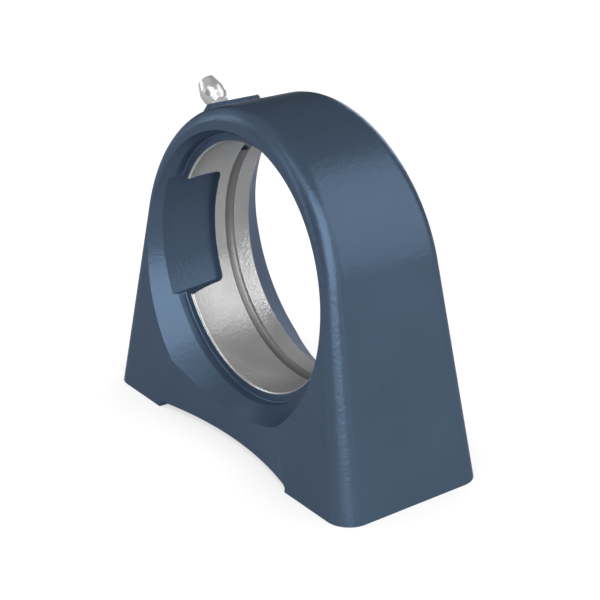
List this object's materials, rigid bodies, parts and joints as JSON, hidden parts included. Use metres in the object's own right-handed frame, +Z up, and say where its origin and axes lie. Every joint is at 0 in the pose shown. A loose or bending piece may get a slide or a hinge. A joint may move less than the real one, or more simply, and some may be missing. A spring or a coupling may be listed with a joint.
{
  "type": "pillow block bearing housing",
  "caption": "Short-base cast pillow block housing with a spherical bearing seat, loading slots, tapped feet and a grease nipple with a sprung check ball.",
  "frame": {"origin": "on the base plane, midway between the two tapped holes and under the middle of the spherical seat", "axes": "+X along the base, -Y out of the front with the loading slots, +Z up"},
  "size_m": [0.096, 0.0404, 0.0805],
  "materials": {
    "blue_paint": "satin",
    "plated_steel": "bright zinc",
    "bearing_steel": "polished",
    "spring_steel": "drawn wire"
  },
  "bodies": {
    "casting": {"housing": "blue_paint", "nipple_body": "plated_steel", "nipple_spring": "spring_steel"},
    "check_ball": {"nipple_ball": "bearing_steel"}
  },
  "joints": [
    {"name": "ball_press", "type": "slide", "parent": "casting", "child": "check_ball", "axis": [0.766, 0, -0.6428], "range_m": [0, 0.0008], "stiffness_N_per_m": 300, "deforming": ["nipple_spring"]}
  ]
}
